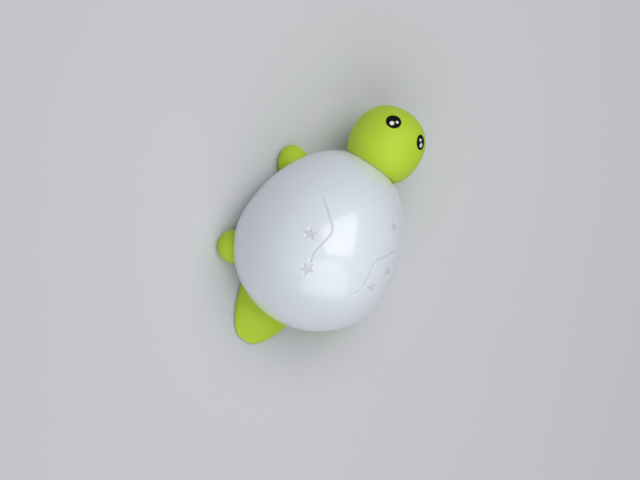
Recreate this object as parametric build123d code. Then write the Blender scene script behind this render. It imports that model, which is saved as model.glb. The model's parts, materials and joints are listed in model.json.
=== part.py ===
from build123d import *
import os
from math import atan2, cos, degrees, pi, radians, sin, sqrt

# Turtle night light with a white shell, in millimetres
# +X points to the head, +Y to the turtle's left, +Z up, and the table is the plane Z = 0
# All places are counted from the shell's widest section, and the last lines
# move the whole turtle so that the origin lies under the middle of its length

# Egg-shaped shell: four ellipsoid quarters that meet at the widest section and at the seam
shell_front = 75.3
shell_rear = 48.8
shell_half_width = 54.4
dome_rise = 63.4
bowl_drop = 32.0
seam_z = 24.0
shell_wall = 2.4
belly_z = 7.0

# Seam between the dome and the lower shell
seam_gap = 0.4
lip_rise = 3.0
lip_drop = 6.0
lip_wall = 1.4
lip_clearance = 0.2

# Engraved lines and stars on the dome
engraving_depth = 0.6
engraving_width = 1.2
plate_line = [(-15.0, 18.8), (-9.0, 21.0), (9.0, 17.5), (24.5, 30.5)]
plate_corner = 4.0
star_radius = 4.6
star_waist = 0.42
star_points = 5
# Each star has a place in plan and a turn in degrees
star_places = [(0.0, 28.2, 20), (-19.8, 17.6, -10), (-5.1, -27.4, 40), (10.6, -33.3, 5), (37.4, -20.8, 25)]

# Head: a body turned about a level axis
head_x = 88.0
head_z = 38.4
head_front = 25.3
head_back = 26.0
head_radius = 24.9
head_fullness = 2.24
head_wall = 2.5
head_gap = 0.3
profile_steps = 8

# Neck that plugs through the dome and the ring that holds it
neck_radius = 6.6
neck_bore = 2.8
neck_clearance = 0.1
neck_inside = -9.0
neck_seat = -23.0
neck_seat_radius = 9.3
neck_ring_radius = 9.0
neck_ring_thickness = 2.0
neck_end_gap = 0.1
neck_bore_depth = 20.0
neck_screw_circle = 4.7
neck_screw_count = 3
neck_screw_bite = 8.0

# Eyes and their two white glints, placed by angles on the head's profile
eye_turn = 30.7
eye_slope = 70.5
eye_radius = 5.1
eye_rise = 1.2
eye_sink = 0.5
eye_seat_depth = 1.2
eye_stem_radius = 1.5
eye_stem_length = 3.2
eye_clearance = 0.05
glint_depth = 0.3
glint_proud = 0.03
large_glint_radius = 1.5
small_glint_radius = 1.0
large_glint_back = 2.1
large_glint_out = 0.2
small_glint_front = 0.4
small_glint_in = 2.3

# Smile: a ring-shaped groove on the lower front of the head
smile_radius = 15.0
smile_width = 1.1
smile_drop = 1.0
smile_span = 100.0

# Feet: front and rear ankle places, the way each foot points, and its half length
front_ankle = (44.0, 32.0)
rear_ankle = (-20.0, 38.0)
front_foot_turn = 50.0
rear_foot_turn = 110.0
front_foot_half_length = 15.0
rear_foot_half_length = 11.0
foot_half_width = 11.0
foot_half_height = 10.0
foot_centre_z = 5.0
foot_offset = 4.0
foot_bottom = 1.0
foot_door_gap = 0.9

# Rubber pads under the feet
pad_radius = 5.8
pad_recess = 0.7
pad_clearance = 0.1

# Long screws that hold foot, lower shell and dome together
case_screw_radius = 1.5
case_screw_head_radius = 2.9
case_screw_head_height = 2.0
case_screw_seat = 4.2
case_screw_bite = 10.0
case_post_radius = 4.2
case_boss_radius = 4.0
case_boss_height = 13.0
boss_rib = 2.0
boss_rib_reach = 25.0
boss_rib_gap = 0.4
screw_clearance = 0.05
head_clearance = 0.4
cross_slot_share = 0.6
cross_slot_width = 0.8
cross_slot_depth = 0.9

# Tail: a rounded wedge in plan, highest at its root, with a crease across it
tail_tip = 68.8
tail_root = 33.0
tail_half_width = 24.7
tail_plan_power = 0.43
tail_bottom = 1.5
tail_root_height = 9.3
tail_crease_x = 50.7
tail_crease_height = 8.2
tail_slope_power = 0.8
tail_end = 0.4
tail_sections = 6
tail_screw_x = -38.0
tail_screw_y = 8.0
tail_screw_seat = 4.0
tail_screw_bite = 7.0

# Small screws that are used all over the inside
small_screw_radius = 1.0
small_screw_head_radius = 1.9
small_screw_head_height = 1.4
small_post_radius = 3.0

# Three battery cells side by side, each along Y
cell_diameter = 14.5
cell_body_length = 49.2
cell_button_radius = 2.75
cell_button_length = 1.3
cell_pitch = 15.2
cell_count = 3
cell_lift = 0.3
bay_x = -4.0
bay_play = 0.8
bay_wall = 1.6
bay_head_room = 0.3

# Battery contacts
contact_thickness = 0.4
contact_width = 12.0
contact_height = 9.0
spring_wire = 0.4
spring_radius = 3.6
spring_length = 6.7
spring_turns = 4

# Battery door: a plate in a recess, two hooks at its rear edge and a screw lug at its front edge
door_thickness = 2.0
door_ledge = 1.6
door_clearance = 0.3
ledge_frame = 1.6
hook_y = 24.0
hook_width = 6.0
hook_stem = 1.0
hook_stem_gap = 0.2
hook_arm = 1.0
hook_reach = 3.0
hook_lift = 0.4
hook_window = 0.4
hook_headroom = 1.4
door_rib_width = 1.0
door_rib_height = 1.2
door_rib_length = 40.0
lug_radius = 4.6
lug_y = -22.0
lug_reach = 4.4
door_screw_radius = 1.5
door_screw_head_radius = 2.8
door_screw_head_height = 1.2
door_screw_length = 6.0
door_screw_play = 0.45
nut_radius = 3.0
nut_height = 4.0
nut_post_radius = 4.4
nut_fit = 0.05

# Speaker that faces down through holes in the belly
speaker_bay_gap = 0.4
speaker_radius = 18.0
speaker_rim = 1.2
speaker_seat_clearance = 0.3
speaker_seat_wall = 1.6
speaker_basket_top = 9.0
speaker_basket_wall = 0.8
speaker_neck_radius = 10.0
magnet_radius = 11.0
magnet_height = 4.6
cone_radius = 15.4
cone_neck = 4.0
cone_depth = 4.6
cone_thickness = 0.5
cone_lift = 0.2
cone_cap_drop = 1.0
clamp_thickness = 1.4
clamp_inner_radius = 16.4
clamp_lug_y = 22.6
clamp_lug_radius = 3.2
grille_hole_radius = 1.4
grille_pitch = 4.2
grille_radius = 13.2

# Control strip: board, push buttons and slide switch on the left of the belly
board_x = 12.0
board_y = 36.4
board_length = 53.0
board_width = 10.0
board_thickness = 1.6
board_gap = 0.3
board_screw_x = (-12.0, 36.0)
board_post_radius = 2.2
board_screw_bite = 4.0
button_y = 36.9
button_x = {"light_button": -5.0, "music_button": 5.0, "timer_button": 15.0}
button_radius = 3.4
button_clearance = 0.3
button_flange = 0.8
button_flange_thickness = 1.0
button_plunger_radius = 1.6
button_plunger_height = 0.3
button_proud = 1.0
button_round = 0.6
button_travel = 0.9
button_spare = 0.4
tact_size = 6.0
tact_height = 3.4
tact_actuator_radius = 1.7
tact_actuator_height = 0.6
slider_x = 27.0
slider_y = 35.6
slider_travel = 3.0
slider_knob_length = 4.6
slider_knob_width = 3.6
slider_clearance = 0.3
slider_flange_length = 9.0
slider_flange_width = 5.6
slider_flange_thickness = 1.0
slider_proud = 0.8
slider_lever = 1.6
slider_lever_bite = 1.2
slider_groove = 0.5
slider_groove_pitch = 1.5
slide_switch_length = 10.0
slide_switch_width = 4.6
slide_switch_height = 3.4
slide_switch_slot_depth = 2.0

# Parts on top of the control board
module_size = (14.0, 9.0, 1.8)
module_x = 2.0
chip_size = (5.0, 4.0, 1.5)
chip_x = (14.5, 22.0)
capacitor_radius = 2.6
capacitor_height = 7.0
capacitor_x = 29.0

# Light: reflector plate, board and emitters
reflector_thickness = 1.6
reflector_clearance = 0.9
reflector_hole_clearance = 0.5
reflector_screw_bite = 7.0
reflector_posts = [(56.0, 19.0), (56.0, -19.0), (-34.5, 15.0), (-34.5, -15.0)]
light_x = 6.0
light_board_radius = 22.0
light_board_thickness = 1.6
light_pad_radius = 3.2
light_pad_height = 3.0
light_pad_circle = 18.5
light_pad_count = 3
emitter_size = 5.0
emitter_height = 1.6
emitter_circle = 12.0
emitter_count = 8

# Sizes that follow from those above
floor_top = belly_z + shell_wall
reflector_z = seam_z + lip_rise
reflector_top = reflector_z + reflector_thickness
case_screw_tip = seam_z + case_screw_bite
tail_screw_tip = belly_z + tail_screw_bite
bay_length_x = cell_count * cell_pitch + bay_play
bay_length_y = cell_body_length + cell_button_length + spring_length + 2 * contact_thickness
bay_roof = belly_z + door_thickness + cell_lift + cell_diameter + bay_head_room
speaker_outer_radius = speaker_radius + speaker_seat_clearance + speaker_seat_wall
speaker_x = bay_x + bay_length_x / 2 + door_ledge + ledge_frame + speaker_bay_gap + speaker_outer_radius
cell_z = belly_z + door_thickness + cell_lift + cell_diameter / 2
door_length_x = bay_length_x + 2 * door_ledge
door_length_y = bay_length_y + 2 * door_ledge
neck_screw_length = neck_ring_thickness + neck_screw_bite
eye_ball_radius = (eye_radius ** 2 + eye_rise ** 2) / (2 * eye_rise)
ledge_top = floor_top + ledge_frame
lug_x = bay_x + door_length_x / 2 + lug_reach
button_end = bay_length_y / 2 - contact_thickness
speaker_seat_top = floor_top + speaker_rim
clamp_top = speaker_seat_top + clamp_thickness
button_top = floor_top + button_flange_thickness + button_plunger_height
board_z = button_top + button_travel + button_spare + tact_actuator_height + tact_height
board_top = board_z + board_thickness
slider_lever_top = board_z - slide_switch_height + slider_lever_bite
light_board_z = reflector_top + light_pad_height
light_board_top = light_board_z + light_board_thickness

# How far cutting bodies run past a face, and how much deeper a hole is than its screw
over = 1.0
tip_room = 1.0
everywhere = 400.0


def slab(low, high):
    """Everything between two heights."""
    return Pos(0, 0, (low + high) / 2) * Box(everywhere, everywhere, high - low)


def block(x_range, y_range, z_range):
    """A box given by its two ends along each axis."""
    middle = [(low + high) / 2 for low, high in (x_range, y_range, z_range)]
    size = [high - low for low, high in (x_range, y_range, z_range)]
    return Pos(*middle) * Box(*size)


def post(x, y, radius, low, high):
    """An upright cylinder between two heights."""
    return Pos(x, y, (low + high) / 2) * Cylinder(radius, high - low)


def egg(grow, upper):
    """Half of the egg above or below the seam, with each radius grown by the same amount."""
    rise = (dome_rise if upper else bowl_drop) + grow
    width = shell_half_width + grow
    half = Sphere(1) & Pos(0, 0, 1 if upper else -1) * Box(4, 4, 2)
    front = scale(half & Pos(1, 0, 0) * Box(2, 4, 4), by=(shell_front + grow, width, rise))
    rear = scale(half & Pos(-1, 0, 0) * Box(2, 4, 4), by=(shell_rear + grow, width, rise))
    return Pos(0, 0, seam_z) * (front + rear)


def egg_plan(inset):
    """The outline of the egg at the seam, drawn in by an inset."""
    width = shell_half_width - inset
    front = Ellipse(shell_front - inset, width) & Pos(everywhere / 2, 0) * Rectangle(everywhere, everywhere)
    rear = Ellipse(shell_rear - inset, width) & Pos(-everywhere / 2, 0) * Rectangle(everywhere, everywhere)
    return front + rear


def screw(radius, head_radius, head_height, length):
    """A cross-head screw that points up, with the underside of its head at Z = 0."""
    body = post(0, 0, head_radius, -head_height, 0) + post(0, 0, radius, 0, length)
    slot_length = cross_slot_share * 2 * head_radius
    slot = Pos(0, 0, -head_height) * Box(slot_length, cross_slot_width, 2 * cross_slot_depth)
    return body - slot - Rot(0, 0, 90) * slot


def small_screw(length):
    """A small screw that points up, with the underside of its head at Z = 0."""
    return screw(small_screw_radius, small_screw_head_radius, small_screw_head_height, length)


def small_screw_down(x, y, seat, tip):
    """A small screw driven down from a seat to a tip height."""
    return Pos(x, y, seat) * Rot(180, 0, 0) * small_screw(seat - tip)


def small_screw_hole(x, y, low, high):
    """The hole of a small upright screw between two heights."""
    return post(x, y, small_screw_radius + screw_clearance, low, high)


def ankles():
    """The four screw places, with the turn and half length of each foot."""
    places = {}
    for end, ankle, turn, length in (("front", front_ankle, front_foot_turn, front_foot_half_length),
                                     ("rear", rear_ankle, rear_foot_turn, rear_foot_half_length)):
        for side, sign in (("left", 1), ("right", -1)):
            places[f"{end}_{side}"] = (ankle[0], sign * ankle[1], sign * turn, length)
    return places


# The head's own frame: X runs along its axis to the nose
head_frame = Pos(head_x, 0, head_z)


def head_point(angle, inset):
    """A point of the head's profile, by its angle from the nose: place along the axis and radius."""
    length = (head_front if angle <= 90 else head_back) - inset
    power = 2 / head_fullness
    along = abs(cos(radians(angle))) ** power * length
    return (along if angle <= 90 else -along), sin(radians(angle)) ** power * (head_radius - inset)


def head_body(inset):
    """The full round of the head, drawn in by an inset."""
    angles = [90 * step / profile_steps for step in range(1, 2 * profile_steps)]
    middle = [head_point(angle, inset) for angle in angles]
    points = [(head_front - inset, 0)] + middle + [(inset - head_back, 0)]
    outline = Spline(*points, tangents=[(0, 1), (0, -1)])
    section = make_face([outline, Line(outline @ 1, outline @ 0)])
    return head_frame * revolve(section, Axis.X)


def along_neck(radius, low, high):
    """A cylinder along the head's axis between two places."""
    return head_frame * Pos((low + high) / 2, 0, 0) * Rot(0, 90, 0) * Cylinder(radius, high - low)


def neck_screw_places():
    """Frames of the neck screws on the ring's inner face, each pointing to the nose."""
    frames = []
    for step in range(neck_screw_count):
        turn = 2 * pi * step / neck_screw_count
        y = neck_screw_circle * sin(turn)
        z = neck_screw_circle * cos(turn)
        frames.append(head_frame * Pos(neck_seat - neck_ring_thickness, y, z) * Rot(0, 90, 0))
    return frames


def star(radius):
    """A five-armed star with its middle at the origin."""
    corners = []
    for step in range(2 * star_points):
        reach = radius if step % 2 == 0 else radius * star_waist
        corners.append((reach * cos(pi * step / star_points), reach * sin(pi * step / star_points)))
    return make_face(Polyline(*corners, close=True))


def engraving():
    """Upright prisms of the plate lines and stars, kept to a thin layer of the dome."""
    marks = []
    for side in (1, -1):
        line = FilletPolyline(*[(x, side * y) for x, y in plate_line], radius=plate_corner)
        marks.append(extrude(trace(line, engraving_width), everywhere / 4))
    for x, y, turn in star_places:
        marks.append(extrude(Pos(x, y) * Rot(0, 0, turn) * star(star_radius), everywhere / 4))
    return Pos(0, 0, seam_z) * (Part() + marks) - egg(-engraving_depth, True)


def shell_dome():
    """White upper shell with screw bosses, neck seat and engraved pattern."""
    dome = egg(0, True) - egg(-shell_wall, True)
    inner = along_neck(neck_seat_radius, neck_seat, neck_inside)
    for x, y, turn, length in ankles().values():
        sign = 1 if y > 0 else -1
        inner += post(x, y, case_boss_radius, seam_z, seam_z + case_boss_height)
        rib_y = sorted((y, y + sign * boss_rib_reach))
        rib_z = (reflector_top + boss_rib_gap, seam_z + case_boss_height)
        inner += block((x - boss_rib / 2, x + boss_rib / 2), rib_y, rib_z)
    dome += inner & egg(-shell_wall / 2, True)
    dome -= along_neck(neck_radius + neck_clearance, neck_seat - over, neck_inside)
    for x, y, turn, length in ankles().values():
        dome -= post(x, y, case_screw_radius + screw_clearance, seam_z - over, case_screw_tip + tip_room)
    return dome - engraving()


def bay_box(grow, low, high):
    """The battery bay's inside, grown sideways."""
    half_x = bay_length_x / 2 + grow
    half_y = bay_length_y / 2 + grow
    return block((bay_x - half_x, bay_x + half_x), (-half_y, half_y), (low, high))


def door_plan(clearance):
    """Outline of the door plate with its screw lug, drawn in by a clearance."""
    plate = Pos(bay_x, 0) * Rectangle(door_length_x - 2 * clearance, door_length_y - 2 * clearance)
    lug = Pos(lug_x, lug_y) * Circle(lug_radius - clearance)
    bridge = Pos(lug_x - lug_reach, lug_y) * Rectangle(2 * lug_reach, 2 * (lug_radius - clearance))
    return plate + lug + bridge


def speaker_holes():
    """Round holes of the grille in a hexagonal field."""
    rows = int(grille_radius / grille_pitch) + 1
    holes = []
    for row in range(-rows, rows + 1):
        for column in range(-2 * rows, 2 * rows + 1):
            x = grille_pitch * (column + row / 2)
            y = grille_pitch * row * sqrt(3) / 2
            if sqrt(x * x + y * y) <= grille_radius:
                holes.append(post(speaker_x + x, y, grille_hole_radius, belly_z - over, floor_top + over))
    return holes


def lower_shell_posts():
    """All upright posts, walls and frames that stand inside the lower shell."""
    inner = bay_box(bay_wall, belly_z, bay_roof + bay_wall)
    inner += bay_box(door_ledge + ledge_frame, belly_z, ledge_top)
    inner += post(lug_x, lug_y, lug_radius + ledge_frame, belly_z, ledge_top)
    inner += post(lug_x, lug_y, nut_post_radius, belly_z, ledge_top + nut_height)
    inner += post(speaker_x, 0, speaker_outer_radius, belly_z, speaker_seat_top)
    inner -= post(speaker_x, 0, speaker_radius + speaker_seat_clearance, floor_top, speaker_seat_top)
    tail_post_top = tail_screw_tip + tip_room
    for side in (1, -1):
        inner += post(speaker_x, side * clamp_lug_y, clamp_lug_radius, belly_z, speaker_seat_top)
        inner += post(tail_screw_x, side * tail_screw_y, small_post_radius, belly_z, tail_post_top)
    for x, y, turn, length in ankles().values():
        inner += post(x, y, case_post_radius, belly_z, seam_z)
    for x, y in reflector_posts:
        inner += post(x, y, small_post_radius, belly_z, reflector_z)
    for x in board_screw_x:
        inner += post(x, board_y, board_post_radius, belly_z, board_z)
    return inner


def slider_slot(length, width, low, high):
    """The slot that something of a length and width on the slider needs for its whole travel."""
    half_length = (length + slider_travel) / 2 + slider_clearance
    half_width = width / 2 + slider_clearance
    x_range = (slider_x - half_length, slider_x + half_length)
    return block(x_range, (slider_y - half_width, slider_y + half_width), (low, high))


def lower_shell_cuts():
    """All openings of the lower shell."""
    recess_top = belly_z + door_thickness
    screw_hole_radius = door_screw_radius + door_screw_play
    cuts = [bay_box(0, belly_z - over, bay_roof), extrude(Pos(0, 0, belly_z) * door_plan(0), door_thickness)]
    cuts.append(post(lug_x, lug_y, screw_hole_radius, recess_top, recess_top + door_screw_length))
    cuts.append(post(lug_x, lug_y, nut_radius + nut_fit, ledge_top, ledge_top + nut_height))
    for side in (1, -1):
        half_window = hook_width / 2 + hook_window
        window_y = (side * hook_y - half_window, side * hook_y + half_window)
        wall_x = bay_x - bay_length_x / 2
        window_x = (wall_x - bay_wall - hook_reach, wall_x + over)
        window_z = (ledge_top, ledge_top + hook_lift + hook_arm + hook_headroom)
        cuts.append(block(window_x, window_y, window_z))
        cuts.append(small_screw_hole(speaker_x, side * clamp_lug_y, floor_top, clamp_top))
        cuts.append(small_screw_hole(tail_screw_x, side * tail_screw_y, belly_z - over, tail_screw_tip))
    cuts += speaker_holes()
    for x, y, turn, length in ankles().values():
        cuts.append(post(x, y, case_screw_radius + screw_clearance, belly_z - over, seam_z + over))
    for x, y in reflector_posts:
        cuts.append(small_screw_hole(x, y, reflector_z - reflector_screw_bite - tip_room, reflector_z))
    for x in board_screw_x:
        cuts.append(small_screw_hole(x, board_y, board_z - board_screw_bite - tip_room, board_z))
    for x in button_x.values():
        cuts.append(post(x, button_y, button_radius + button_clearance, belly_z - over, floor_top))
    cuts.append(slider_slot(slider_knob_length, slider_knob_width, belly_z - over, floor_top))
    return cuts


def lower_shell():
    """White lower shell: bowl, flat belly, lip, battery bay and posts."""
    bowl = egg(0, False) & slab(belly_z, seam_z - seam_gap)
    bowl -= egg(-shell_wall, False) & slab(floor_top, seam_z)
    lip = egg_plan(shell_wall + lip_clearance) - egg_plan(shell_wall + lip_clearance + lip_wall)
    lip = extrude(Pos(0, 0, seam_z - lip_drop) * lip, lip_drop + lip_rise)
    inside = egg(-shell_wall / 2, False) & slab(belly_z, seam_z)
    posts = lower_shell_posts()
    low_part = posts & slab(belly_z, seam_z - lip_drop) & inside
    high_part = posts & slab(seam_z - lip_drop, everywhere / 2)
    return bowl + lip + low_part + high_part - lower_shell_cuts()


def eye_frame(side):
    """Frame of an eye on the head: Z along the head's normal, X away from the middle."""
    along, radius = head_point(eye_slope, 0)
    slope_along = (along / head_front) ** (head_fullness - 1) / head_front
    slope_out = (radius / head_radius) ** (head_fullness - 1) / head_radius
    lean = atan2(slope_along, slope_out)
    turn = radians(eye_turn) * side
    normal = (sin(lean), cos(lean) * sin(turn), cos(lean) * cos(turn))
    outward = (0, side * cos(turn), -side * sin(turn))
    return head_frame * Plane((along, radius * sin(turn), radius * cos(turn)), outward, normal).location


def eye_ball(grow):
    """Ball whose top is the eye's domed face, in the eye's own frame, with its seam at the back."""
    return Pos(0, 0, eye_rise - eye_sink - eye_ball_radius) * Rot(0, 90, 0) * Sphere(eye_ball_radius + grow)


def eye_body(grow):
    """Eye with domed face, flat back and stem, in its own frame."""
    back = -eye_sink - eye_seat_depth - grow
    barrel = post(0, 0, eye_radius + grow, back, eye_rise)
    return (barrel & eye_ball(grow)) + post(0, 0, eye_stem_radius + grow, back - eye_stem_length, back)


def glint_pins(side):
    """Upright pins where the two glints of an eye lie, in the eye's own frame."""
    front_y = -side
    large = post(large_glint_out, -front_y * large_glint_back, large_glint_radius, -eye_sink, 2 * eye_rise)
    small = post(-small_glint_in, front_y * small_glint_front, small_glint_radius, -eye_sink, 2 * eye_rise)
    return large + small


def eye(side):
    """Black eye with pockets for its glints."""
    return eye_frame(side) * (eye_body(0) - (glint_pins(side) - eye_ball(-glint_depth)))


def eye_glints():
    """White glints, two in each eye."""
    glints = []
    for side in (1, -1):
        caps = (glint_pins(side) & eye_ball(glint_proud)) - eye_ball(-glint_depth)
        glints.append(eye_frame(side) * caps)
    return Part() + glints


def smile():
    """Groove of the smile, following the head's round below the nose."""
    reach = sqrt(1 - (smile_radius / head_radius) ** 2) * head_front
    ring = Pos(reach, 0, -smile_drop) * Rot(0, 90, 0) * Torus(smile_radius, smile_width / 2)
    half_span = radians(smile_span / 2)
    corner = everywhere / 4
    wedge = make_face(Polyline((0, 0), (-corner * sin(half_span), -corner * cos(half_span)),
                               (corner * sin(half_span), -corner * cos(half_span)), close=True))
    sector = extrude(Plane.YZ * wedge, everywhere / 2)
    return head_frame * (ring & sector)


def shell_room(grow):
    """The dome's room beside the head, straight below the seam so that the lower shell fits from below."""
    below = extrude(Pos(0, 0, seam_z) * egg_plan(-grow), -everywhere / 4)
    return egg(grow, True) + below


def head():
    """Hollow lime head with neck plug, eye seats and smile."""
    near_shell = shell_room(head_gap)
    inside_shell = shell_room(head_gap + head_wall)
    skin = head_body(0) - near_shell - (head_body(head_wall) - inside_shell)
    skin += along_neck(neck_radius, neck_seat + neck_end_gap, neck_inside) - head_body(head_wall)
    skin += along_neck(neck_radius, neck_seat + neck_end_gap, neck_inside) & inside_shell
    skin -= along_neck(neck_bore, neck_seat - over, neck_seat + neck_bore_depth)
    for frame in neck_screw_places():
        skin -= frame * small_screw_hole(0, 0, 0, neck_screw_length + tip_room)
    for side in (1, -1):
        skin -= eye_frame(side) * eye_body(eye_clearance)
    return skin - smile()


def neck_ring():
    """Ring that clamps the neck to the dome from inside."""
    low = neck_seat - neck_ring_thickness
    ring = along_neck(neck_ring_radius, low, neck_seat) - along_neck(neck_bore, low - over, neck_seat + over)
    for frame in neck_screw_places():
        ring -= frame * small_screw_hole(0, 0, -over, neck_ring_thickness + over)
    return ring


def neck_screws():
    """Screws through the neck ring into the neck."""
    return Part() + [frame * small_screw(neck_screw_length) for frame in neck_screw_places()]


def foot(place):
    """One lime foot: a rounded lobe under the shell."""
    x, y, turn, half_length = ankles()[place]
    lobe = scale(Sphere(1), by=(half_length, foot_half_width, foot_half_height))
    lobe = Pos(x, y, foot_centre_z) * Rot(0, 0, turn) * Pos(foot_offset, 0, 0) * lobe
    lobe = (lobe & slab(foot_bottom, everywhere / 2)) - (egg(0, False) & slab(belly_z, seam_z))
    door_side = door_length_y / 2 + foot_door_gap
    door_front = bay_x + door_length_x / 2 + foot_door_gap
    lobe -= block((-everywhere, door_front), (-door_side, door_side), (0, everywhere))
    lobe -= post(x, y, pad_radius + pad_clearance, 0, foot_bottom + pad_recess)
    lobe -= post(x, y, case_screw_head_radius + head_clearance, 0, case_screw_seat)
    return lobe - post(x, y, case_screw_radius + screw_clearance, 0, belly_z + over)


def foot_pads():
    """Rubber pads, one under each foot."""
    pads = []
    for x, y, turn, length in ankles().values():
        pads.append(post(x, y, pad_radius, 0, foot_bottom + pad_recess))
    return Part() + pads


def case_screws():
    """Long screws, one through each foot."""
    length = case_screw_tip - case_screw_seat
    one = screw(case_screw_radius, case_screw_head_radius, case_screw_head_height, length)
    return Part() + [Pos(x, y, case_screw_seat) * one for x, y, turn, half_length in ankles().values()]


def tail_section(x, height):
    """Arched cross-section of the tail at one place behind the shell's middle."""
    half_width = tail_half_width * ((tail_tip - x) / (tail_tip - tail_root)) ** tail_plan_power
    arch = Ellipse(half_width, height) & Pos(0, height) * Rectangle(2 * half_width, 2 * height)
    return Plane((-x, 0, tail_bottom), (0, 1, 0), (1, 0, 0)) * arch


def tail():
    """Lime tail: an arched wedge with a crease, seated under the rear of the shell."""
    root = tail_section(tail_root, tail_root_height)
    outer = []
    for step in range(tail_sections):
        share = (1 - step / tail_sections) ** 2
        x = tail_tip - max((tail_tip - tail_crease_x) * share, tail_end)
        height = tail_crease_height * ((tail_tip - x) / (tail_tip - tail_crease_x)) ** tail_slope_power
        outer.append(tail_section(x, height))
    body = loft([root, outer[0]], ruled=True) + loft(outer)
    body -= egg(0, False) & slab(belly_z, seam_z)
    for side in (1, -1):
        screw_y = side * tail_screw_y
        body -= post(tail_screw_x, screw_y, small_screw_head_radius + head_clearance, 0, tail_screw_seat)
        body -= small_screw_hole(tail_screw_x, screw_y, 0, belly_z + over)
    return body


def tail_screws():
    """Two screws through the tail's root into the lower shell."""
    one = small_screw(tail_screw_tip - tail_screw_seat)
    return Part() + [Pos(tail_screw_x, side * tail_screw_y, tail_screw_seat) * one for side in (1, -1)]


def cell_places():
    """Middle of each cell along X, with the way its button points."""
    middle = (cell_count - 1) / 2
    return [(bay_x + (step - middle) * cell_pitch, 1 if step % 2 == 0 else -1) for step in range(cell_count)]


def battery_cells():
    """Three round cells, each turned the other way than its neighbour."""
    cells = []
    for x, way in cell_places():
        shoulder = cell_body_length / 2
        cell = post(0, 0, cell_diameter / 2, -shoulder, shoulder)
        cell += post(0, 0, cell_button_radius, shoulder, shoulder + cell_button_length)
        shift = button_end - cell_button_length - shoulder
        cells.append(Pos(x, way * shift, cell_z) * Rot(-90 * way, 0, 0) * cell)
    return Part() + cells


def contact_plates():
    """Thin contact plates at both ends of each cell."""
    plates = []
    for x, way in cell_places():
        for side in (1, -1):
            end = side * bay_length_y / 2
            y_range = sorted((end, end - side * contact_thickness))
            x_range = (x - contact_width / 2, x + contact_width / 2)
            z_range = (cell_z - contact_height / 2, cell_z + contact_height / 2)
            plates.append(block(x_range, y_range, z_range))
    return Part() + plates


def contact_springs():
    """Coil springs at the flat end of each cell."""
    coil_height = spring_length - 2 * spring_wire
    path = Helix(coil_height / spring_turns, coil_height, spring_radius)
    coil = sweep(Plane(path @ 0, z_dir=path % 0) * Circle(spring_wire), path)
    springs = []
    for x, way in cell_places():
        start = -way * (button_end - spring_wire)
        springs.append(Pos(x, start, cell_z) * Rot(-90 * way, 0, 0) * coil)
    return Part() + springs


def battery_door():
    """Door plate with hooks, ribs and the hole of its screw."""
    top = belly_z + door_thickness
    door = extrude(Pos(0, 0, belly_z) * door_plan(door_clearance), door_thickness)
    stem_x = bay_x - bay_length_x / 2 + hook_stem_gap
    arm_low = ledge_top + hook_lift
    for side in (1, -1):
        y_range = (side * hook_y - hook_width / 2, side * hook_y + hook_width / 2)
        door += block((stem_x, stem_x + hook_stem), y_range, (top, arm_low + hook_arm))
        door += block((stem_x + hook_stem - hook_reach, stem_x), y_range, (arm_low, arm_low + hook_arm))
        rib_x = bay_x + side * cell_pitch / 2
        door += block((rib_x - door_rib_width / 2, rib_x + door_rib_width / 2),
                      (-door_rib_length / 2, door_rib_length / 2), (top, top + door_rib_height))
    sink_radius = door_screw_head_radius + screw_clearance
    door -= post(lug_x, lug_y, sink_radius, belly_z - over, belly_z + door_screw_head_height)
    return door - post(lug_x, lug_y, door_screw_radius + screw_clearance, belly_z, top + over)


def battery_door_screw():
    """Captive screw of the door."""
    one = screw(door_screw_radius, door_screw_head_radius, door_screw_head_height, door_screw_length)
    return Pos(lug_x, lug_y, belly_z + door_screw_head_height) * one


def door_nut():
    """Brass insert that takes the door's screw."""
    nut = post(lug_x, lug_y, nut_radius, ledge_top, ledge_top + nut_height)
    return nut - post(lug_x, lug_y, door_screw_radius + door_screw_play, 0, everywhere / 2)


def turned(points):
    """A body turned about the speaker's upright axis from a section of radius and height."""
    section = make_face(Polyline(*points, close=True))
    return Pos(speaker_x, 0, floor_top) * revolve(Plane.XZ * section, Axis.Z)


def speaker_frame():
    """Pressed frame of the speaker: rim and basket."""
    wall = speaker_basket_wall
    top = speaker_basket_top
    outside = [(cone_radius, 0), (speaker_radius, 0), (speaker_radius, speaker_rim),
               (cone_radius + wall, speaker_rim), (speaker_neck_radius + wall, top), (0, top)]
    inside = [(0, top - wall), (speaker_neck_radius, top - wall), (cone_radius, speaker_rim)]
    return turned(outside + inside)


def speaker_cone():
    """Paper cone with its cap, just inside the frame."""
    edge = cone_radius - screw_clearance
    below = [(edge, cone_lift), (cone_neck, cone_depth), (0, cone_depth - cone_cap_drop)]
    above = [(radius, height + cone_thickness) for radius, height in reversed(below)]
    return turned(below + above)


def speaker_magnet():
    """Round magnet on top of the frame."""
    low = floor_top + speaker_basket_top
    return post(speaker_x, 0, magnet_radius, low, low + magnet_height)


def speaker_clamp():
    """Ring with two lugs that holds the speaker's rim down."""
    low = speaker_seat_top
    ring = post(speaker_x, 0, speaker_outer_radius, low, clamp_top)
    for side in (1, -1):
        ring += post(speaker_x, side * clamp_lug_y, clamp_lug_radius, low, clamp_top)
    ring -= post(speaker_x, 0, clamp_inner_radius, low - over, clamp_top + over)
    for side in (1, -1):
        ring -= small_screw_hole(speaker_x, side * clamp_lug_y, low - over, clamp_top + over)
    return ring


def speaker_screws():
    """Screws of the speaker clamp."""
    lugs = [side * clamp_lug_y for side in (1, -1)]
    return Part() + [small_screw_down(speaker_x, y, clamp_top, floor_top) for y in lugs]


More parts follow.
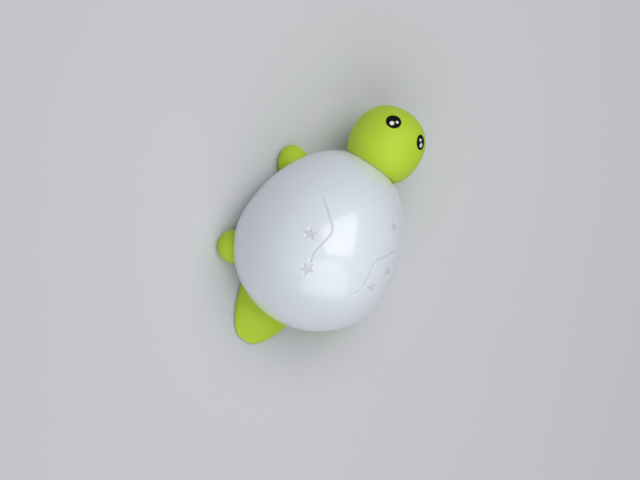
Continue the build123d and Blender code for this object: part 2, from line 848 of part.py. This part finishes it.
def main_board():
    """Control board with its screw holes, clear of the shell's wall and of the long screws' posts."""
    middle = Pos(board_x, board_y, board_z + board_thickness / 2)
    board = middle * Box(board_length, board_width, board_thickness)
    board &= egg(-shell_wall - board_gap, False)
    for x, y, turn, length in ankles().values():
        board -= post(x, y, case_post_radius + board_gap, board_z - over, board_top + over)
    for x in board_screw_x:
        board -= small_screw_hole(x, board_y, board_z - over, board_top + over)
    return board


def board_screws():
    """Screws of the control board."""
    tip = board_z - board_screw_bite
    return Part() + [small_screw_down(x, board_y, board_top, tip) for x in board_screw_x]


def button_switches():
    """Small push switches under the board, one over each button."""
    switches = []
    for x in button_x.values():
        low = board_z - tact_height
        body = Pos(x, button_y, low + tact_height / 2) * Box(tact_size, tact_size, tact_height)
        switches.append(body + post(x, button_y, tact_actuator_radius, low - tact_actuator_height, low))
    return Part() + switches


def push_button(name):
    """Push button: rounded cap through the belly, flange inside and plunger on top."""
    x = button_x[name]
    cap = post(x, button_y, button_radius, belly_z - button_proud, floor_top)
    cap = fillet(cap.edges().group_by(Axis.Z)[0], button_round)
    flange_radius = button_radius + button_clearance + button_flange
    flange_top = floor_top + button_flange_thickness
    cap += post(x, button_y, flange_radius, floor_top, flange_top)
    return cap + post(x, button_y, button_plunger_radius, flange_top, button_top)


def power_slider():
    """Sliding power knob at its off end, with finger grooves and a lever."""
    x = slider_x - slider_travel / 2
    half_knob = slider_knob_length / 2
    knob_y = (slider_y - slider_knob_width / 2, slider_y + slider_knob_width / 2)
    knob = block((x - half_knob, x + half_knob), knob_y, (belly_z - slider_proud, floor_top))
    for step in (-1, 0, 1):
        groove_x = x + step * slider_groove_pitch
        knob -= block((groove_x - slider_groove / 2, groove_x + slider_groove / 2), knob_y,
                      (belly_z - slider_proud - over, belly_z - slider_proud + slider_groove))
    flange_y = (slider_y - slider_flange_width / 2, slider_y + slider_flange_width / 2)
    flange_top = floor_top + slider_flange_thickness
    half_flange = slider_flange_length / 2
    knob += block((x - half_flange, x + half_flange), flange_y, (floor_top, flange_top))
    lever_z = (flange_top + slider_lever_top) / 2
    lever = Box(slider_lever, slider_lever, slider_lever_top - flange_top)
    return knob + Pos(x, slider_y, lever_z) * lever


def slide_switch():
    """Body of the slide switch under the board, with the slot of its lever."""
    low = board_z - slide_switch_height
    body = Box(slide_switch_length, slide_switch_width, slide_switch_height)
    body = Pos(slider_x, slider_y, (low + board_z) / 2) * body
    return body - slider_slot(slider_lever, slider_lever, low - over, low + slide_switch_slot_depth)


def on_board(x, size):
    """A box that lies on the control board."""
    return Pos(x, board_y, board_top + size[2] / 2) * Box(*size)


def board_capacitor():
    """Upright round capacitor on the control board."""
    return post(capacitor_x, board_y, capacitor_radius, board_top, board_top + capacitor_height)


def light_pads():
    """Places of the light board's pads."""
    turns = [2 * pi * step / light_pad_count for step in range(light_pad_count)]
    return [(light_x + light_pad_circle * cos(turn), light_pad_circle * sin(turn)) for turn in turns]


def reflector():
    """White plate over the works, with pads that carry the light board."""
    plate = extrude(Pos(0, 0, reflector_z) * egg_plan(shell_wall + reflector_clearance), reflector_thickness)
    for x, y in light_pads():
        plate += post(x, y, light_pad_radius, reflector_top, reflector_top + light_pad_height)
    boss_hole_radius = case_boss_radius + reflector_hole_clearance
    for x, y, turn, length in ankles().values():
        plate -= post(x, y, boss_hole_radius, reflector_z - over, reflector_top + over)
    for x, y in reflector_posts:
        plate -= small_screw_hole(x, y, reflector_z - over, reflector_top + over)
    for x, y in light_pads():
        plate -= small_screw_hole(x, y, reflector_z, light_board_z + over)
    return plate


def reflector_screws():
    """Screws of the reflector plate."""
    tip = reflector_z - reflector_screw_bite
    return Part() + [small_screw_down(x, y, reflector_top, tip) for x, y in reflector_posts]


def light_board():
    """Round board of the emitters."""
    board = post(light_x, 0, light_board_radius, light_board_z, light_board_top)
    for x, y in light_pads():
        board -= small_screw_hole(x, y, light_board_z - over, light_board_top + over)
    return board


def light_board_screws():
    """Screws of the light board."""
    tip = reflector_z + tip_room
    return Part() + [small_screw_down(x, y, light_board_top, tip) for x, y in light_pads()]


def light_emitters():
    """Square emitters: one in the middle and a ring around it."""
    places = [(light_x, 0)]
    for step in range(emitter_count):
        turn = 2 * pi * (step + 0.5) / emitter_count
        places.append((light_x + emitter_circle * cos(turn), emitter_circle * sin(turn)))
    emitters = []
    for x, y in places:
        turn = degrees(atan2(y, x - light_x))
        middle = Pos(x, y, light_board_top + emitter_height / 2) * Rot(0, 0, turn)
        emitters.append(middle * Box(emitter_size, emitter_size, emitter_height))
    return Part() + emitters


pieces = {
    "shell_dome": shell_dome(),
    "lower_shell": lower_shell(),
    "head": head(),
    "neck_ring": neck_ring(),
    "neck_screws": neck_screws(),
    "left_eye": eye(1),
    "right_eye": eye(-1),
    "eye_glints": eye_glints(),
    "front_left_foot": foot("front_left"),
    "front_right_foot": foot("front_right"),
    "rear_left_foot": foot("rear_left"),
    "rear_right_foot": foot("rear_right"),
    "foot_pads": foot_pads(),
    "case_screws": case_screws(),
    "tail": tail(),
    "tail_screws": tail_screws(),
    "battery_cells": battery_cells(),
    "contact_plates": contact_plates(),
    "contact_springs": contact_springs(),
    "battery_door": battery_door(),
    "battery_door_screw": battery_door_screw(),
    "door_nut": door_nut(),
    "speaker_frame": speaker_frame(),
    "speaker_cone": speaker_cone(),
    "speaker_magnet": speaker_magnet(),
    "speaker_clamp": speaker_clamp(),
    "speaker_screws": speaker_screws(),
    "main_board": main_board(),
    "board_screws": board_screws(),
    "button_switches": button_switches(),
    "slide_switch": slide_switch(),
    "power_slider": power_slider(),
    "wireless_module": on_board(module_x, module_size),
    "board_chips": Part() + [on_board(x, chip_size) for x in chip_x],
    "board_capacitor": board_capacitor(),
    "reflector": reflector(),
    "reflector_screws": reflector_screws(),
    "light_board": light_board(),
    "light_board_screws": light_board_screws(),
    "light_emitters": light_emitters(),
}
for name in button_x:
    pieces[name] = push_button(name)

nose = pieces["head"].bounding_box().max.X
tail_end_x = pieces["tail"].bounding_box().min.X
centred = Pos(-(nose + tail_end_x) / 2, 0, 0)
print("shift along X", round(-(nose + tail_end_x) / 2, 4))

os.makedirs("parts", exist_ok=True)
for name, piece in pieces.items():
    export_step(centred * piece, f"parts/{name}.step")
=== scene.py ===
import json
from math import cos, pi, radians, sin

import bmesh
import bpy
import numpy as np
from mathutils import Matrix, Vector


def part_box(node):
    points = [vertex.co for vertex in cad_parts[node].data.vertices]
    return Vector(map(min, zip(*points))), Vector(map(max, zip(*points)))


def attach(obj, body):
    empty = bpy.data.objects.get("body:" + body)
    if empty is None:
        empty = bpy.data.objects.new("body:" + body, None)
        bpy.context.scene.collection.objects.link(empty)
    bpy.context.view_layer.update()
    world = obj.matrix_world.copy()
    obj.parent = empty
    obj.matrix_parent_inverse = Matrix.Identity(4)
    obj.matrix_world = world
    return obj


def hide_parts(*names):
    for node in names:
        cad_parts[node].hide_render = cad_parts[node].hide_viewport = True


# Turtle night light, in metres: +X to the head, +Y to the turtle's left, +Z up
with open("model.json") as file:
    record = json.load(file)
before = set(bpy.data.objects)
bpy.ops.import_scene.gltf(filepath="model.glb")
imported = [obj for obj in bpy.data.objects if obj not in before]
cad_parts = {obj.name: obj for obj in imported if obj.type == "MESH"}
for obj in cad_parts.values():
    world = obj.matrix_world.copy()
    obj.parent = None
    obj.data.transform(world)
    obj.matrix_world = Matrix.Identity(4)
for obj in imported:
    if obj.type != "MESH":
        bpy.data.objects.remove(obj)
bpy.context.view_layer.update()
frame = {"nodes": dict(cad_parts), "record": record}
nodes = frame["nodes"]
mm = 0.001

# Egg-shaped dome over the seam, counted from its widest section, as wide and high as the solid
shell_front = 75.3 * mm
shell_rear = 48.8 * mm
dome_low, dome_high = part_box("shell_dome")
shell_half_width = (dome_high.y - dome_low.y) / 2
dome_rise = dome_high.z - dome_low.z
seam_z = dome_low.z
widest_x = dome_low.x + shell_rear
shell_wall = 2.4 * mm
dome_rings = 96
dome_segments = 360
inner_rings = 24

# Engraved marks of the dome: their depth, walls and finer faces
engraving_depth = 0.35 * mm
engraving_width = 1.2 * mm
engraving_slope = 0.9 * mm
engraving_band = 1.2 * mm
engraving_levels = 3

# One plate line, mirrored to the other side, in millimetres in plan from the widest section
plate_line = [(-15.0, 18.8), (-9.0, 21.0), (9.0, 17.5), (24.5, 30.5)]
plate_corner = 4.0 * mm
corner_steps = 8

# Stars: place in millimetres in plan from the widest section, and turn in degrees
star_radius = 4.6 * mm
star_waist = 0.42
star_points = 5
star_places = [
    (0.0, 28.2, 20),
    (-19.8, 17.6, -10),
    (-5.1, -27.4, 40),
    (10.6, -33.3, 5),
    (37.4, -20.8, 25),
]

# Camera of the photograph: the way back from the turtle to it, its upward side, its place and focal length
camera_back = Vector((-0.1981, 0.3457, 0.9172))
camera_up = Vector((0.8353, 0.5491, -0.0266))
camera_place = Vector((widest_x, 0, 0)) + Vector((-223.9, 411.4, 1116.9)) * mm
camera_reach = 20
focal_pixels = 1800
image_width = 640
sensor_width = 36

# Soft boxes over the turtle: the way to each, its distance, width, height and power
soft_boxes = {
    "window": ((0.363, 0.143, 0.921), 0.85, 0.68, 0.64, 3.9),
    "fill": ((-0.65, -0.19, 0.67), 1.0, 1.2, 1.2, 6.0),
    "side_fill": ((0.4, 0.85, 0.5), 1.0, 1.0, 1.0, 0.7),
}
room_light = 0.18

# Paper floor, and how far from the turtle it starts and ends turning into the backdrop
floor_side = 6
floor_fade = (0.3, 1.0)
floor_grey = (0.64, 0.65, 0.675)
floor_shade = 0.985
floor_waves = 6.0
floor_roughness = 0.9
backdrop_grey = (0.54, 0.55, 0.57)

# Milk-white shell: colours as linear light, lowest and highest roughness, size and depth of its grain
white_milk = (0.80, 0.86, 0.96)
white_milk_warm = (0.79, 0.84, 0.93)
# Painted shade in the engraved grooves: a grey mixed into the shell colour by groove depth
groove_painted_shade = (0.67, 0.715, 0.79)
shell_roughness = (0.36, 0.44)
shell_grain = (3.0 * mm, 0.003 * mm)
shell_coat = 1.0
shell_subsurface = 0.15

# Satin lime plastic of the head, feet, tail and buttons
lime = (0.53, 0.71, 0.045)
lime_deep = (0.49, 0.68, 0.035)
lime_roughness = (0.52, 0.62)
lime_grain = (0.45 * mm, 0.012 * mm)
lime_subsurface = 0.1
lime_specular = 0.3

# Black eyes
eye_ink = (0.005, 0.007, 0.004)
eye_roughness = (0.52, 0.62)
eye_specular = 0.05

# Rubber pads
pad_grey = (0.05, 0.05, 0.052)
pad_grey_worn = (0.07, 0.07, 0.07)
pad_roughness = (0.75, 0.9)
pad_grain = (0.5 * mm, 0.05 * mm)

# Other moulded pieces by material slot: colour, and lowest and highest roughness
moulded_looks = {
    "glint_white": ((0.85, 0.86, 0.84), (0.2, 0.3)),
    "speaker_metal": ((0.03, 0.03, 0.032), (0.4, 0.55)),
    "magnet_metal": ((0.06, 0.06, 0.065), (0.5, 0.7)),
    "cone_paper": ((0.02, 0.02, 0.02), (0.8, 0.95)),
    "switch_black": ((0.02, 0.02, 0.02), (0.4, 0.55)),
    "slider_black": ((0.025, 0.025, 0.026), (0.4, 0.55)),
    "inner_white": ((0.78, 0.78, 0.76), (0.5, 0.7)),
    "emitter_cream": ((0.80, 0.70, 0.32), (0.2, 0.35)),
}
moulded_grain = (0.6 * mm, 0.008 * mm)
moulded_shade = 0.9

# Metal pieces by material slot: colour, and lowest and highest roughness
metal_looks = {
    "screw_steel": ((0.55, 0.55, 0.57), (0.25, 0.45)),
    "cell_jacket": ((0.10, 0.14, 0.22), (0.3, 0.5)),
    "contact_metal": ((0.66, 0.65, 0.62), (0.2, 0.4)),
    "nut_brass": ((0.62, 0.45, 0.16), (0.25, 0.4)),
}
metal_shade = 0.8
metal_cloud_waves = 900.0
metal_gloss_waves = 1500.0
metal_mark_waves = 4000.0
metal_mark_depth = 0.01 * mm

# Circuit boards by material slot: colours of the solder mask and of the tracks under it
board_looks = {
    "board_green": ((0.02, 0.13, 0.05), (0.05, 0.22, 0.08)),
    "board_white": ((0.78, 0.78, 0.75), (0.68, 0.68, 0.66)),
}
board_roughness = (0.3, 0.5)
board_gloss_waves = 300.0
track_waves = 400.0
track_shift = 0.3
track_depth = 0.02 * mm

# What all moulded plastic shares, with noise in waves per metre
cloud_waves = 28.0
gloss_waves = 160.0
coat_roughness = 0.13
subsurface_reach = 0.8 * mm
noise_low = 0.3
noise_high = 0.7


def rounded_line(points, corner):
    """Points along a line whose corners are rounded by a smooth bend."""
    path = [Vector(points[0])]
    for before, here, after in zip(points, points[1:], points[2:]):
        here = Vector(here)
        start = here + (Vector(before) - here).normalized() * corner
        end = here + (Vector(after) - here).normalized() * corner
        for step in range(corner_steps + 1):
            t = step / corner_steps
            path.append(start * (1 - t) ** 2 + here * 2 * t * (1 - t) + end * t ** 2)
    path.append(Vector(points[-1]))
    return path


def star_corners(x, y, turn):
    """Corners of one star in plan."""
    corners = []
    for step in range(2 * star_points):
        reach = star_radius if step % 2 == 0 else star_radius * star_waist
        angle = radians(turn) + pi * step / star_points
        corners.append((x * mm + reach * cos(angle), y * mm + reach * sin(angle)))
    return corners


def edge_distance(spots, path):
    """Distance in plan from each spot to the nearest run of a path."""
    nearest = np.full(len(spots), np.inf)
    for start, end in zip(path, path[1:]):
        start = np.array(start)
        run = np.array(end) - start
        along = np.clip((spots - start) @ run / (run @ run), 0, 1)
        nearest = np.minimum(nearest, np.linalg.norm(spots - start - along[:, None] * run, axis=1))
    return nearest


def inside_corners(spots, corners):
    """True for each spot inside a closed outline."""
    inside = np.zeros(len(spots), bool)
    for (x0, y0), (x1, y1) in zip(corners, corners[1:] + corners[:1]):
        if y0 == y1:
            continue
        crosses = (y0 > spots[:, 1]) != (y1 > spots[:, 1])
        reach = x0 + (spots[:, 1] - y0) * (x1 - x0) / (y1 - y0)
        inside ^= crosses & (spots[:, 0] < reach)
    return inside


plate_paths = []
for side in (1, -1):
    corners = [(x * mm, side * y * mm) for x, y in plate_line]
    plate_paths.append([tuple(point) for point in rounded_line(corners, plate_corner)])
stars = [star_corners(*place) for place in star_places]


def engraving_distance(spots):
    """Signed distance in plan to the edge of the engraved marks, negative inside them."""
    nearest = np.full(len(spots), np.inf)
    for path in plate_paths:
        nearest = np.minimum(nearest, edge_distance(spots, path) - engraving_width / 2)
    for corners in stars:
        distance = edge_distance(spots, corners + corners[:1])
        nearest = np.minimum(nearest, np.where(inside_corners(spots, corners), -distance, distance))
    return nearest


def dome_radii(x):
    """The three half lengths of the dome for places before or behind its widest section."""
    length = np.where(x >= 0, shell_front, shell_rear)
    width = np.full_like(length, shell_half_width)
    rise = np.full_like(length, dome_rise)
    return np.stack([length, width, rise], axis=1)


def on_dome(points):
    """Points moved straight out from the dome's centre onto its surface."""
    return points / np.linalg.norm(points / dome_radii(points[:, 0]), axis=1)[:, None]


def dome_normals(points):
    """Outward directions of the dome at points on it."""
    normals = points / dome_radii(points[:, 0]) ** 2
    return normals / np.linalg.norm(normals, axis=1)[:, None]


def cap_grid(bm, rings, inset):
    """A round grid over the dome, from its top to its rim. Returns the rim's corners in order."""
    top = bm.verts.new((0, 0, dome_rise - inset))
    before = None
    for ring in range(1, rings + 1):
        slope = pi / 2 * ring / rings
        loop = []
        for step in range(dome_segments):
            turn = 2 * pi * step / dome_segments
            length = (shell_front if cos(turn) >= 0 else shell_rear) - inset
            x = length * sin(slope) * cos(turn)
            y = (shell_half_width - inset) * sin(slope) * sin(turn)
            loop.append(bm.verts.new((x, y, (dome_rise - inset) * cos(slope))))
        for step in range(dome_segments):
            after = (step + 1) % dome_segments
            if before is None:
                bm.faces.new((top, loop[step], loop[after]))
            else:
                bm.faces.new((before[step], loop[step], loop[after], before[after]))
        before = loop
    return before


def vertex_places(bm):
    """Places of all corners as an array."""
    return np.array([vertex.co for vertex in bm.verts])


def refine_near_marks(bm):
    """Divides the grid where engraved marks need finer faces."""
    for level in range(engraving_levels):
        bm.verts.index_update()
        near = np.abs(engraving_distance(vertex_places(bm)[:, :2])) < engraving_band / (level + 1)
        edges = [edge for edge in bm.edges if any(near[vertex.index] for vertex in edge.verts)]
        bmesh.ops.subdivide_edges(bm, edges=edges, cuts=1, use_grid_fill=True)
        places = on_dome(vertex_places(bm))
        for vertex, place in zip(bm.verts, places):
            vertex.co = place


def groove_share(distance):
    """How deep a place is in a groove, from 0 outside to 1 on its floor, with soft walls."""
    share = np.clip(0.5 - distance / engraving_slope, 0, 1)
    return share * share * (3 - 2 * share)


def mesh_piece(name, bm, material):
    """Makes an object of a mesh, smooth, with one material, that rides on the turtle's body."""
    mesh = bpy.data.meshes.new(name)
    bm.to_mesh(mesh)
    bm.free()
    mesh.materials.append(material)
    for polygon in mesh.polygons:
        polygon.use_smooth = True
    piece = bpy.data.objects.new(name, mesh)
    bpy.context.scene.collection.objects.link(piece)
    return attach(piece, "turtle")


def milk_dome(material):
    """The dome: engraved outside, plain inside, joined at the rim."""
    bm = bmesh.new()
    cap_grid(bm, dome_rings, 0.0)
    refine_near_marks(bm)
    bm.normal_update()
    places = vertex_places(bm)
    sunk = groove_share(engraving_distance(places[:, :2]))
    sunk[places[:, 2] < engraving_band] = 0
    places -= dome_normals(places) * (sunk * engraving_depth)[:, None]
    for vertex, place in zip(bm.verts, places):
        vertex.co = place
    rim = [edge for edge in bm.edges if edge.is_boundary]
    inner_rim = cap_grid(bm, inner_rings, shell_wall)
    inner_edges = []
    for step in range(dome_segments):
        inner_edges.append(bm.edges.get((inner_rim[step], inner_rim[(step + 1) % dome_segments])))
    bmesh.ops.bridge_loops(bm, edges=rim + inner_edges)
    bmesh.ops.recalc_face_normals(bm, faces=bm.faces)
    bmesh.ops.translate(bm, verts=bm.verts, vec=(widest_x, 0, seam_z))
    piece = mesh_piece("milk_dome", bm, material)
    # Groove depth kept on the mesh, which the shell material uses for its painted shade
    depth = piece.data.attributes.new("groove", "FLOAT", "POINT")
    values = np.zeros(len(piece.data.vertices), np.float32)
    values[:len(sunk)] = sunk
    depth.data.foreach_set("value", values)
    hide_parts("shell_dome")
    return piece


class Nodes:
    """Short names for building the nodes of a material or a world."""

    def __init__(self, owner):
        owner.use_nodes = True
        self.owner = owner
        self.tree = owner.node_tree
        self.shader = self.tree.nodes.get("Principled BSDF")

    def add(self, kind, **values):
        """A node with its settings and its unlinked inputs."""
        node = self.tree.nodes.new(kind)
        for key, value in values.items():
            if key in node.inputs:
                node.inputs[key].default_value = value
            else:
                setattr(node, key, value)
        return node

    def link(self, start, end):
        """Joins an output to an input."""
        self.tree.links.new(start, end)

    def place(self):
        """Object coordinates, in metres."""
        return self.add("ShaderNodeTexCoord").outputs["Object"]

    def noise(self, waves, detail=3.0):
        """Noise with a number of waves per metre."""
        node = self.add("ShaderNodeTexNoise", Scale=waves, Detail=detail)
        self.link(self.place(), node.inputs["Vector"])
        return node.outputs["Fac"]

    def spread(self, value, low, high):
        """A noise value stretched to a range."""
        node = self.add("ShaderNodeMapRange")
        node.inputs["From Min"].default_value = noise_low
        node.inputs["From Max"].default_value = noise_high
        node.inputs["To Min"].default_value = low
        node.inputs["To Max"].default_value = high
        self.link(value, node.inputs["Value"])
        return node.outputs["Result"]

    def mix(self, share, first, second):
        """A mix of two colours."""
        node = self.add("ShaderNodeMix", data_type="RGBA")
        self.link(share, node.inputs["Factor"])
        for value, socket in ((first, node.inputs["A"]), (second, node.inputs["B"])):
            if isinstance(value, tuple):
                socket.default_value = (*value, 1)
            else:
                self.link(value, socket)
        return node.outputs["Result"]

    def math(self, operation, first, second):
        """Two values added or multiplied, kept between 0 and 1."""
        node = self.add("ShaderNodeMath", operation=operation, use_clamp=True)
        self.link(first, node.inputs[0])
        self.link(second, node.inputs[1])
        return node.outputs["Value"]

    def bump(self, height, depth):
        """Fine relief of a depth in metres."""
        node = self.add("ShaderNodeBump", Strength=1.0, Distance=depth)
        self.link(height, node.inputs["Height"])
        self.link(node.outputs["Normal"], self.shader.inputs["Normal"])

    def seen_rays(self):
        """1 for rays that show a background: from the camera, off gloss and through glass. 0 for the rest."""
        rays = self.add("ShaderNodeLightPath").outputs
        shown = self.math("ADD", rays["Is Camera Ray"], rays["Is Glossy Ray"])
        return self.math("ADD", shown, rays["Is Transmission Ray"])

    def show(self, share, first, second, output):
        """Shows the second shader in place of the first by a share."""
        both = self.add("ShaderNodeMixShader")
        self.link(share, both.inputs["Fac"])
        self.link(first, both.inputs[1])
        self.link(second, both.inputs[2])
        self.link(both.outputs["Shader"], self.tree.nodes[output].inputs["Surface"])


def new_material(name):
    """Nodes of a new material."""
    return Nodes(bpy.data.materials.new(name))


def shaded(colour, share):
    """A colour made darker."""
    return tuple(share * part for part in colour)


def moulded(name, colours, roughness, grain, coat=0.0, subsurface=0.0, specular=0.5):
    """Moulded plastic: clouded colour, uneven gloss and a fine grain of a size and depth in metres."""
    n = new_material(name)
    clouds = n.spread(n.noise(cloud_waves), 0.0, 1.0)
    n.link(n.mix(clouds, *colours), n.shader.inputs["Base Color"])
    n.link(n.spread(n.noise(gloss_waves), *roughness), n.shader.inputs["Roughness"])
    size, depth = grain
    n.bump(n.noise(1 / size, 2.0), depth)
    n.shader.inputs["Specular IOR Level"].default_value = specular
    n.shader.inputs["Coat Weight"].default_value = coat
    n.shader.inputs["Coat Roughness"].default_value = coat_roughness
    n.shader.inputs["Subsurface Weight"].default_value = subsurface
    n.shader.inputs["Subsurface Radius"].default_value = (1.0, 1.0, 1.0)
    n.shader.inputs["Subsurface Scale"].default_value = subsurface_reach
    return n


def shell_material():
    """Milk-white glossy shell with painted shade in its engraved grooves: a grey mixed in by groove depth."""
    colours = (white_milk, white_milk_warm)
    n = moulded("shell_white", colours, shell_roughness, shell_grain, shell_coat, shell_subsurface)
    groove = n.add("ShaderNodeAttribute", attribute_name="groove")
    clear = n.shader.inputs["Base Color"].links[0].from_socket
    # Painted shade: grey mixed into the engraved grooves by their depth
    n.link(n.mix(groove.outputs["Fac"], clear, groove_painted_shade), n.shader.inputs["Base Color"])
    return n.owner


def lime_material():
    """Satin lime plastic."""
    look = {"subsurface": lime_subsurface, "specular": lime_specular}
    return moulded("lime_plastic", (lime, lime_deep), lime_roughness, lime_grain, **look).owner


def rubber():
    """Dull rubber with a pebbled face."""
    return moulded("pad_rubber", (pad_grey, pad_grey_worn), pad_roughness, pad_grain).owner


def plain_moulded(name, colour, roughness, specular=0.5):
    """Moulded plastic of one colour with a slightly darker cloud in it."""
    colours = (colour, shaded(colour, moulded_shade))
    return moulded(name, colours, roughness, moulded_grain, specular=specular).owner


def metal(name, colour, roughness):
    """Plated metal with fine turned marks."""
    n = new_material(name)
    worn = shaded(colour, metal_shade)
    n.link(n.mix(n.noise(metal_cloud_waves), colour, worn), n.shader.inputs["Base Color"])
    n.link(n.spread(n.noise(metal_gloss_waves), *roughness), n.shader.inputs["Roughness"])
    n.bump(n.noise(metal_mark_waves, 1.0), metal_mark_depth)
    n.shader.inputs["Metallic"].default_value = 1.0
    return n.owner


def board_material(name, mask, track):
    """Circuit board: solder mask over fine copper tracks."""
    n = new_material(name)
    tracks = n.add("ShaderNodeTexBrick", Scale=track_waves, offset=track_shift)
    tracks.inputs["Color1"].default_value = (*mask, 1)
    tracks.inputs["Color2"].default_value = (*mask, 1)
    tracks.inputs["Mortar"].default_value = (*track, 1)
    n.link(n.place(), tracks.inputs["Vector"])
    n.link(tracks.outputs["Color"], n.shader.inputs["Base Color"])
    n.link(n.spread(n.noise(board_gloss_waves), *board_roughness), n.shader.inputs["Roughness"])
    n.bump(tracks.outputs["Fac"], track_depth)
    return n.owner


def floor_paper():
    """Pale paper floor that turns into the plain backdrop far from the turtle."""
    n = new_material("floor_paper")
    clouds = n.mix(n.noise(floor_waves), floor_grey, shaded(floor_grey, floor_shade))
    n.link(clouds, n.shader.inputs["Base Color"])
    n.shader.inputs["Roughness"].default_value = floor_roughness
    reach = n.add("ShaderNodeVectorMath", operation="LENGTH")
    n.link(n.place(), reach.inputs[0])
    far = n.add("ShaderNodeMapRange", interpolation_type="SMOOTHSTEP")
    far.inputs["From Min"].default_value = floor_fade[0]
    far.inputs["From Max"].default_value = floor_fade[1]
    n.link(reach.outputs["Value"], far.inputs["Value"])
    share = n.math("MULTIPLY", far.outputs["Result"], n.seen_rays())
    backdrop = n.add("ShaderNodeEmission", Color=(*backdrop_grey, 1))
    n.show(share, n.shader.outputs["BSDF"], backdrop.outputs["Emission"], "Material Output")
    return n.owner


def paper_floor():
    """The floor under the turtle."""
    bpy.ops.mesh.primitive_plane_add(size=floor_side)
    floor = bpy.context.object
    floor.name = "floor"
    floor.data.materials.append(floor_paper())


def facing(back, up, place):
    """Matrix of a lamp or camera at a place, from the way back from what it faces and its upward side."""
    back = back.normalized()
    right = up.cross(back).normalized()
    rotation = Matrix((right, back.cross(right), back)).transposed().to_4x4()
    return Matrix.Translation(place) @ rotation


def studio_lamps():
    """Soft boxes that face the middle of the dome."""
    dome_middle = Vector((widest_x, 0, (dome_low.z + dome_high.z) / 2))
    for name, (toward, distance, width, height, power) in soft_boxes.items():
        lamp = bpy.data.lights.new(name, "AREA")
        lamp.shape = "RECTANGLE"
        lamp.size = width
        lamp.size_y = height
        lamp.energy = power
        holder = bpy.data.objects.new(name, lamp)
        bpy.context.scene.collection.objects.link(holder)
        way = Vector(toward).normalized()
        holder.matrix_world = facing(way, camera_up, dome_middle + way * distance)


def studio_world():
    """Even light all round, and a plain pale backdrop wherever it shows."""
    world = bpy.data.worlds.new("studio")
    bpy.context.scene.world = world
    n = Nodes(world)
    room = n.add("ShaderNodeBackground", Color=(1, 1, 1, 1), Strength=room_light)
    backdrop = n.add("ShaderNodeBackground", Color=(*backdrop_grey, 1), Strength=1.0)
    n.show(n.seen_rays(), room.outputs["Background"], backdrop.outputs["Background"], "World Output")


def photo_camera():
    """The photograph's camera."""
    camera = bpy.data.cameras.new("photo_camera")
    camera.sensor_width = sensor_width
    camera.lens = focal_pixels * sensor_width / image_width
    camera.clip_end = camera_reach
    holder = bpy.data.objects.new("photo_camera", camera)
    bpy.context.scene.collection.objects.link(holder)
    holder.matrix_world = facing(camera_back, camera_up, camera_place)
    bpy.context.scene.camera = holder


# Materials by the record's slots, and the solids that wear them
shell = shell_material()
skin = lime_material()
materials = {
    "shell_white": shell,
    "lime": skin,
    "button_lime": skin,
    "eye_black": plain_moulded("eye_black", eye_ink, eye_roughness, eye_specular),
    "pad_rubber": rubber(),
}
for slot, look in moulded_looks.items():
    materials[slot] = plain_moulded(slot, *look)
for slot, look in metal_looks.items():
    materials[slot] = metal(slot, *look)
for slot, look in board_looks.items():
    materials[slot] = board_material(slot, *look)
for part in frame["record"]["subparts"]:
    mesh = nodes[part["node"]].data
    mesh.materials.clear()
    mesh.materials.append(materials[part["material_slot"]])

milk_dome(shell)
paper_floor()
studio_lamps()
studio_world()
photo_camera()
bpy.context.scene.view_settings.view_transform = "Standard"
